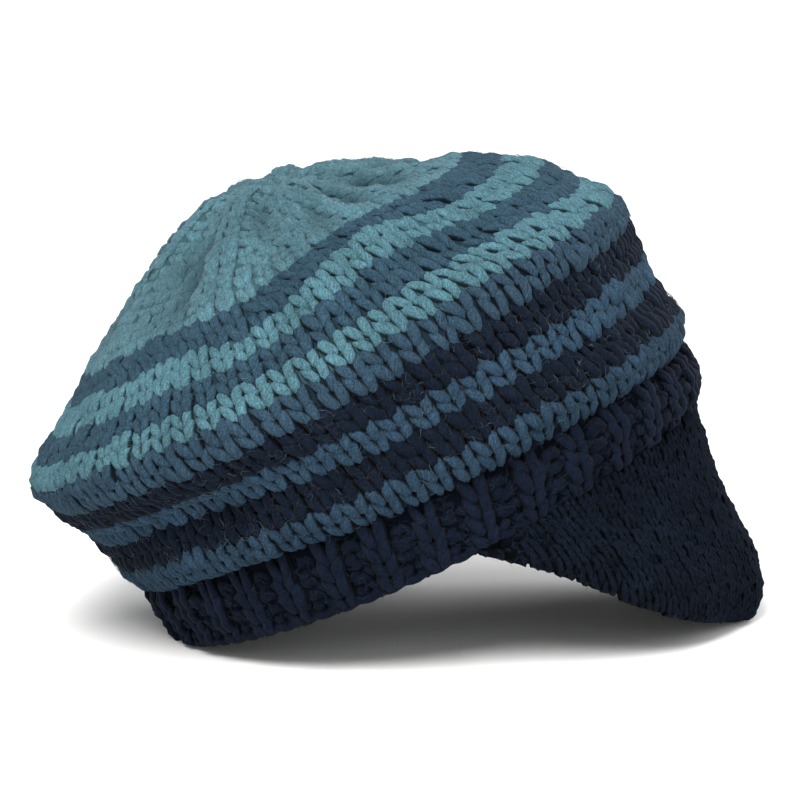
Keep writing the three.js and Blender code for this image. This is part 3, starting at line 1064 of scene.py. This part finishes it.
def core_shell(name, courses, slots, materials, node, closed_top=False):
    """Two layers of matted wool, joined at both ends. A closed top is drawn in to its middle."""
    angle = np.arange(CORE_POINTS) * 360 / CORE_POINTS
    rows = []
    for deeper, order in ((0, 1), (CORE_THICKNESS, -1)):
        layer = []
        for course in courses:
            face, normal = knit_surface(np.full(CORE_POINTS, float(course)), angle)
            depth = np.interp(course, CORE_COURSES, CORE_DEPTHS) + deeper
            layer.append(press(face - normal * depth, CORE_CLEARANCE))
        if closed_top:
            middle = layer[-1].mean(0)
            layer.append(middle + CORE_CLOSING * (layer[-1] - middle))
        rows.extend(layer[::order])
    if closed_top:
        slots = slots + slots[-1:]
    row_slots = slots + slots[-1:] + slots[::-1] + slots[:1]
    row = np.arange(len(rows))[:, None]
    quads = row_faces(row, (row + 1) % len(rows), CORE_POINTS)[:, ::-1]
    slot_of_face = np.repeat(row_slots, CORE_POINTS)
    thing = quads_to_object(name, np.concatenate(rows), quads, materials, slot_of_face)
    finish_piece(thing, node)


def add_cores():
    materials = []
    for name, yarn, _, first, _ in STRIPES:
        # Painted shade: each core is darker than its stripe's yarn, the lower stripes' darkest
        tone = np.interp(first, (CORE_SHADE_START, TOP_COURSE), (CORE_SHADE, TOP_CORE_SHADE))
        materials.append(plain_wool("core_" + name, shade(yarn, tone)[:3]))
    courses = list(np.arange(BAND_COURSES, CROWN_CORE_END, CROWN_CORE_STEP)) + [CROWN_CORE_LAST]
    slots = list(stripe_number(np.array(courses[:-1])))
    core_shell("crown_core", courses, slots, materials, "crown", closed_top=True)
    band_courses = list(np.arange(BAND_CORE_START, BAND_COURSES + 0.1, BAND_CORE_STEP))
    band_wool = plain_wool("core_band", shade(BAND_COLOUR, CORE_SHADE)[:3])
    band_slots = [0] * (len(band_courses) - 1)
    core_shell("band_core", band_courses, band_slots, [band_wool], "ribbed_band")
    add_visor_core()


def add_visor_core():
    loops = []
    for angle in np.linspace(-VISOR_HALF_ANGLE, VISOR_HALF_ANGLE, VISOR_CORE_COLUMNS):
        half = visor_half(angle)
        reach = visor_length(angle) + half * math.pi / 2
        run = np.linspace(0, 1, VISOR_CORE_ROWS) * reach
        angles = np.full(len(run), angle)
        depth = np.full(len(run), min(VISOR_CORE_DEPTH, half * VISOR_CORE_SHARE))
        top, _ = visor_surface(angles, run, 1, depth)
        bottom, _ = visor_surface(angles, run, -1, depth)
        loops.append(np.concatenate([top, bottom[::-1][1:]]))
    points = press(np.concatenate(loops), VISOR_CORE_CLEARANCE)
    row = np.arange(len(loops) - 1)[:, None]
    wool = plain_wool("core_visor", shade(VISOR_COLOUR, CORE_SHADE)[:3])
    thing = quads_to_object("visor_core", points, row_faces(row, row + 1, len(loops[0])), [wool])
    finish_piece(thing, "visor")


# Fuzz: fine fibres that stand off the wool

HAIR_POINTS = 4
HAIR_SIDES = 3
HAT_CURVE = 60
HAIR_BEND, HAIR_WAVE = 0.5, 0.16
HAIR_ROOT = 0.25
LEAST_RISE = 0.15
HAIR_TAPER = 0.75
HAIR_CLEARANCE = 0.3

# The hairs of each piece: how many, shortest and longest, radius and how far they stand off
CROWN_HAIRS = (10600, (1.5, 6), 0.045, 0.35)
BAND_HAIRS = (2500, (2, 6), 0.04, 0.35)
VISOR_HAIRS = (2500, (2, 5), 0.035, 0.3)

# Where the hairs start: the crown's are denser low down and in the dark stripes
CROWN_HAIR_START, CROWN_HAIR_COURSES, CROWN_HAIR_SLOPE = BAND_COURSES + 0.3, 37.2 - BAND_COURSES, 1.15
DARK_COURSES, DARK_SHARE = (5.5, 12.5), 0.38
CROWN_HAIR_DEPTH = 0.5
BAND_HAIR_START, BAND_HAIR_DEPTH = 0.5, 0.6
VISOR_HAIR_ANGLE, VISOR_HAIR_START, VISOR_HAIR_DEPTH = 74, 0.05, 0.6
VISOR_TOP_SHARE = 0.75

# The hairs' colours: the crown's take them from the wool, but for a share of paler strays
STRAY_SHARE = 0.1
STRAY_COLOUR = (0.12, 0.18, 0.21)
BAND_HAIR_COLOUR = (0.024, 0.036, 0.056)
VISOR_HAIR_COLOUR = (0.022, 0.034, 0.052)
PALER, LIT_THROUGH = 1.3, 0.034


def hair_tubes(points, normals, lengths, radius, lift):
    """Three-sided curling hairs from points on the surface, as one set of points and faces."""
    count = len(points)
    random_way = unit(RANDOM.normal(0, 1, (count, 3)))
    way = unit(random_way - normals * np.sum(random_way * normals, 1, keepdims=True))
    side = np.cross(normals, way)
    bend = RANDOM.normal(0, HAIR_BEND, count)
    wave = RANDOM.normal(0, HAIR_WAVE, count)
    rise = RANDOM.uniform(LEAST_RISE, 1.0, count) * lift
    t = np.linspace(0, 1, HAIR_POINTS)
    arch = np.sin(math.pi * t)
    path = points[:, None] + way[:, None] * (t[:, None] * lengths[:, None, None])
    path = path + side[:, None] * (bend * lengths * 0.5)[:, None, None] * (arch ** 2)[:, None]
    path = path + side[:, None] * (wave * lengths)[:, None, None] * np.sin(2 * math.pi * t)[:, None]
    sag = lengths[:, None] ** 2 * (t - 0.5) ** 2 / HAT_CURVE
    path = path + normals[:, None] * (rise[:, None] * (HAIR_ROOT + arch) - sag)[:, :, None]
    turns = 2 * math.pi * np.arange(HAIR_SIDES) / HAIR_SIDES
    ring = np.cos(turns)[None, :, None] * side[:, None] + np.sin(turns)[None, :, None] * normals[:, None]
    taper = radius * (1 - HAIR_TAPER * np.abs(2 * t - 1) ** 3)
    body = path[:, :, None] + ring[:, None] * taper[None, :, None, None]
    per_hair = HAIR_POINTS * HAIR_SIDES
    start = (np.arange(count) * per_hair)[:, None, None]
    row = (np.arange(HAIR_POINTS - 1) * HAIR_SIDES)[None, :, None]
    near = np.arange(HAIR_SIDES)[None, None]
    far = (near + 1) % HAIR_SIDES
    base = start + row
    quads = np.stack([base + near, base + near + HAIR_SIDES, base + far + HAIR_SIDES, base + far], -1)
    return body.reshape(-1, 3), quads.reshape(-1, 4)


def hair_colour(colour):
    """A hair is paler than the wool that it stands off, because light comes through it."""
    return tuple(PALER * c + LIT_THROUGH for c in colour)


def stripe_number(courses):
    return np.searchsorted(STRIPE_STARTS, courses, side="right") - 1


def add_crown_fuzz():
    count, lengths, radius, lift = CROWN_HAIRS
    height = RANDOM.uniform(0, 1, count) ** CROWN_HAIR_SLOPE
    course = CROWN_HAIR_START + CROWN_HAIR_COURSES * height
    in_the_dark = RANDOM.uniform(0, 1, count) < DARK_SHARE
    course[in_the_dark] = RANDOM.uniform(*DARK_COURSES, in_the_dark.sum())
    angle = RANDOM.uniform(0, 360, count)
    face, normal = knit_surface(course, angle)
    start = face - normal * RANDOM.uniform(0.0, CROWN_HAIR_DEPTH, count)[:, None]
    points, quads = hair_tubes(start, normal, RANDOM.uniform(*lengths, count), radius, lift)
    shades = [plain_wool("fuzz_" + row[0], hair_colour(row[1])) for row in STRIPES]
    shades.append(plain_wool("fuzz_stray", STRAY_COLOUR))
    slot = stripe_number(course)
    slot[RANDOM.uniform(0, 1, count) < STRAY_SHARE] = len(shades) - 1
    faces_per_hair = (HAIR_POINTS - 1) * HAIR_SIDES
    thing = quads_to_object("crown_fuzz", points, quads, shades, np.repeat(slot, faces_per_hair))
    finish_piece(thing, "crown")


def add_band_fuzz():
    count, lengths, radius, lift = BAND_HAIRS
    course = RANDOM.uniform(BAND_HAIR_START, BAND_COURSES, count)
    face, normal = knit_surface(course, RANDOM.uniform(0, 360, count))
    start = face - normal * BAND_HAIR_DEPTH
    points, quads = hair_tubes(start, normal, RANDOM.uniform(*lengths, count), radius, lift)
    wool = plain_wool("fuzz_band", BAND_HAIR_COLOUR)
    thing = quads_to_object("band_fuzz", press(points, HAIR_CLEARANCE), quads, [wool])
    finish_piece(thing, "ribbed_band")


def add_visor_fuzz():
    count, lengths, radius, lift = VISOR_HAIRS
    angle = RANDOM.uniform(-VISOR_HAIR_ANGLE, VISOR_HAIR_ANGLE, count)
    run = RANDOM.uniform(VISOR_HAIR_START, 1, count) * visor_length(angle)
    side = np.where(RANDOM.uniform(0, 1, count) < VISOR_TOP_SHARE, 1, -1)
    start, normal = visor_surface(angle, run, side, np.full(count, VISOR_HAIR_DEPTH))
    points, quads = hair_tubes(start, normal, RANDOM.uniform(*lengths, count), radius, lift)
    wool = plain_wool("fuzz_visor", VISOR_HAIR_COLOUR)
    thing = quads_to_object("visor_fuzz", press(points, HAIR_CLEARANCE), quads, [wool])
    finish_piece(thing, "visor")


add_camera()
add_light()
add_floor()
knit_crown()
knit_band()
knit_visor()
add_cores()
add_crown_fuzz()
add_band_fuzz()
add_visor_fuzz()
